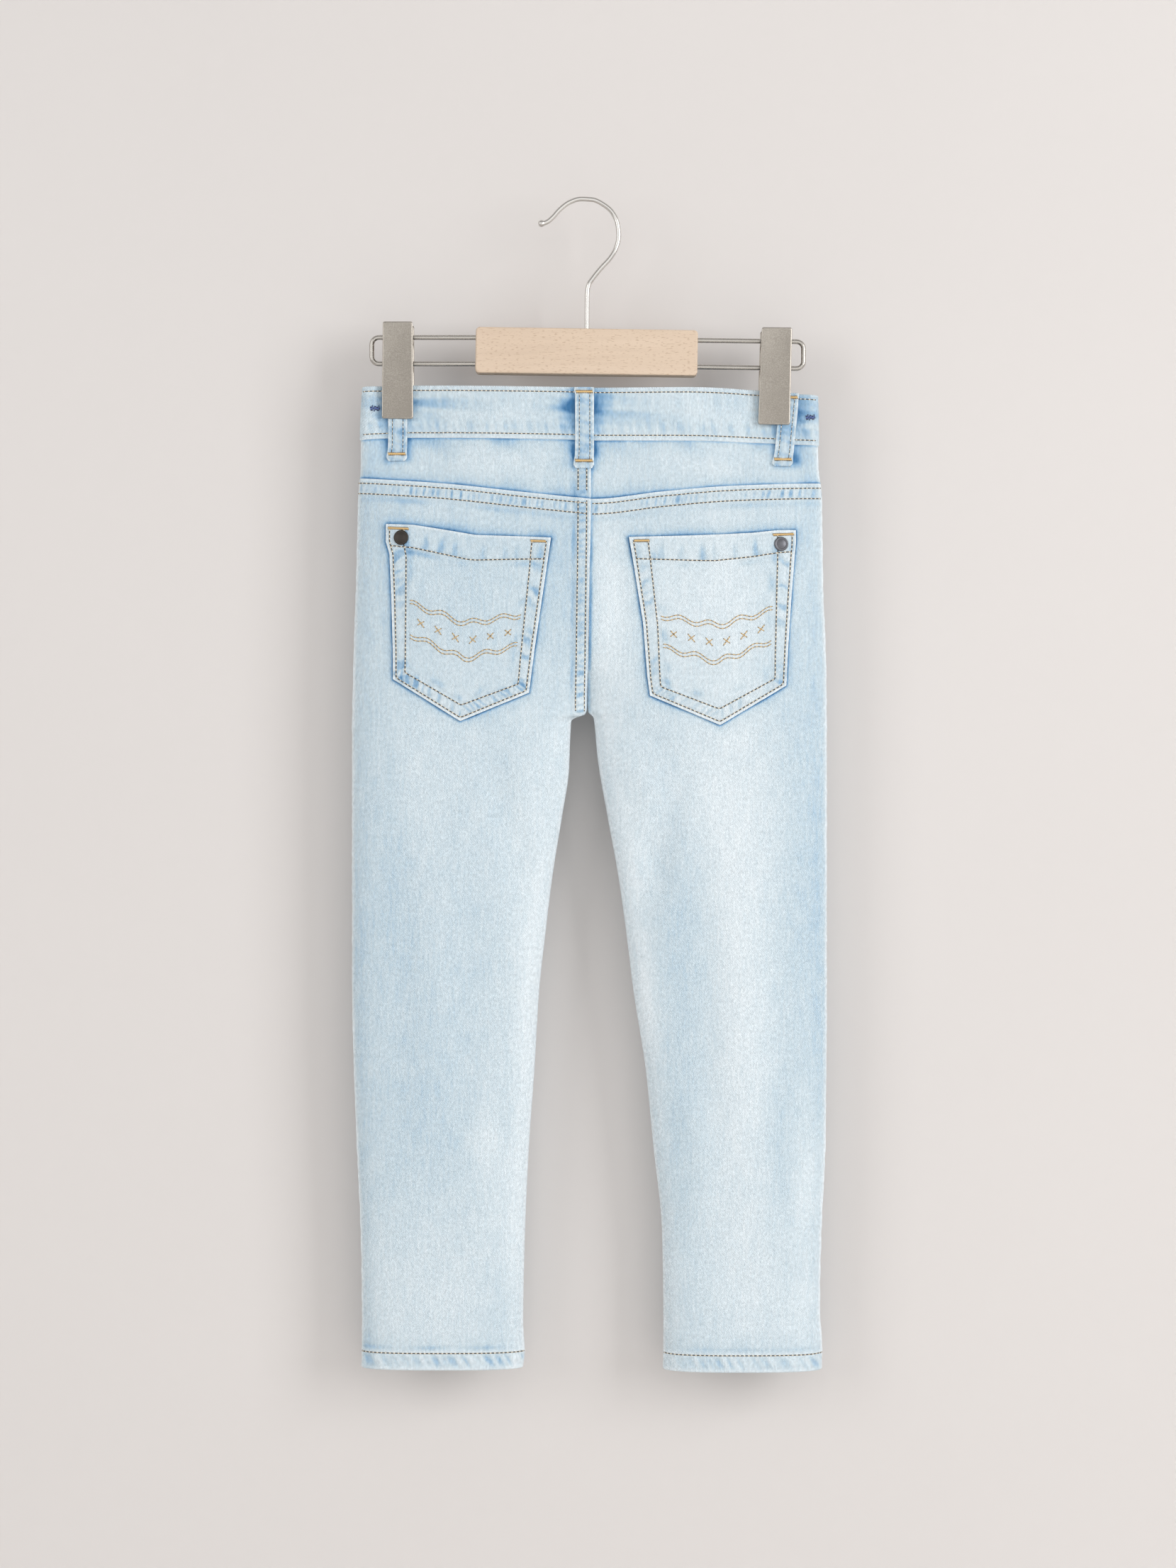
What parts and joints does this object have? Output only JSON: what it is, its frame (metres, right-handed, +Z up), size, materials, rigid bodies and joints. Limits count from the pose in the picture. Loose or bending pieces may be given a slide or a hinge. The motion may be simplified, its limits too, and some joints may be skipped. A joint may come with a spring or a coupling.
{
  "type": "child's jeans on a clip hanger",
  "caption": "Light-washed straight-leg denim jeans for a child, hung by the waist from a wooden clip hanger with a wire hook.",
  "frame": {"origin": "under the crown of the hanger's hook, where a rail or peg carries it", "axes": "+Z up along the hung garment, +X along the waist to the right as seen from behind the wearer, -Y out of the back of the jeans"},
  "size_m": [0.3057, 0.0342, 0.7536],
  "materials": {
    "denim": "light bleached twill, matt",
    "beech": "smooth, clear lacquer",
    "wire": "plated, soft shine",
    "clip": "brushed warm nickel",
    "rivet_dark": "antique, worn",
    "rivet_pale": "dull nickel"
  },
  "bodies": {
    "root": {"back_leg_left": "denim", "back_leg_right": "denim", "back_yoke_left": "denim", "back_yoke_right": "denim", "back_pocket_left": "denim", "back_pocket_right": "denim", "front_leg_left": "denim", "front_leg_right": "denim", "front_facing_left": "denim", "front_facing_right": "denim", "fly": "denim", "waistband": "denim", "belt_loop_back_left": "denim", "belt_loop_back_centre": "denim", "belt_loop_back_right": "denim", "belt_loop_front_left": "denim", "belt_loop_front_right": "denim", "rivet_left": "rivet_dark", "rivet_right": "rivet_pale", "button": "rivet_pale", "hanger_bar": "beech", "hanger_hook": "wire", "hanger_wire_left": "wire", "hanger_wire_right": "wire", "clip_plate_near_left": "clip", "clip_plate_far_left": "clip", "clip_plate_near_right": "clip", "clip_plate_far_right": "clip", "clip_spring_left": "wire", "clip_spring_right": "wire"}
  },
  "joints": []
}
